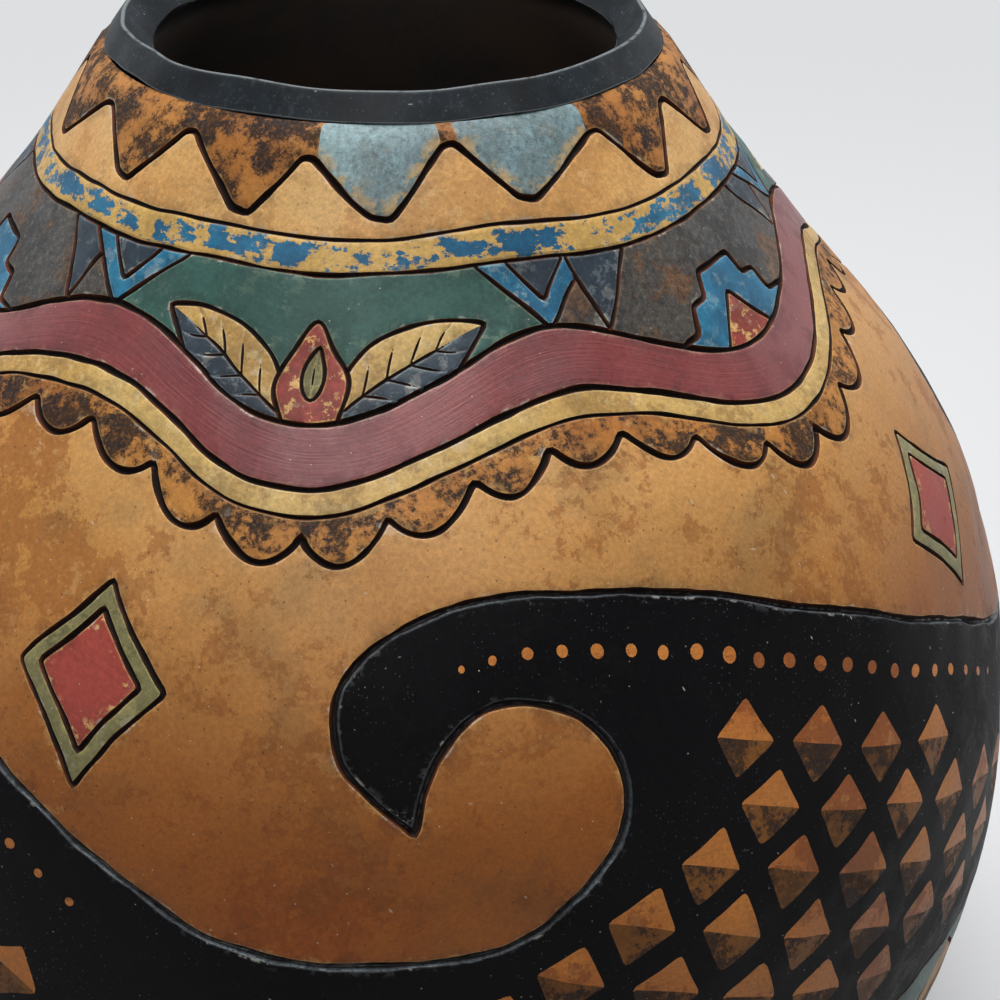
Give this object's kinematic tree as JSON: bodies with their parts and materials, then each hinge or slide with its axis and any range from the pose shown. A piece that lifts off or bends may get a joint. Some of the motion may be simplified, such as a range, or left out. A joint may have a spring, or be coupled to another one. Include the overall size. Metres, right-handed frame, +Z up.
{
  "type": "carved gourd vessel",
  "caption": "Round hollow gourd vessel with a narrow open mouth, a raised black rim collar, a sealed inside and a carved, dyed and varnished outside that stands on a flat padded base.",
  "frame": {"origin": "centre of the base, on the plane that the vessel rests on", "axes": "+Z up through the middle of the mouth; -Y towards the viewer"},
  "size_m": [0.24, 0.24, 0.2407],
  "materials": {
    "carved_rind": "carved, dyed and satin varnished",
    "rim_black": "satin black with fine specks",
    "sealing_coat": "matte black brushed coat",
    "pad_felt": "pressed felt"
  },
  "bodies": {
    "root": {"gourd_shell": "carved_rind", "rim_collar": "rim_black", "inner_lining": "sealing_coat", "base_pad": "pad_felt"}
  },
  "joints": []
}
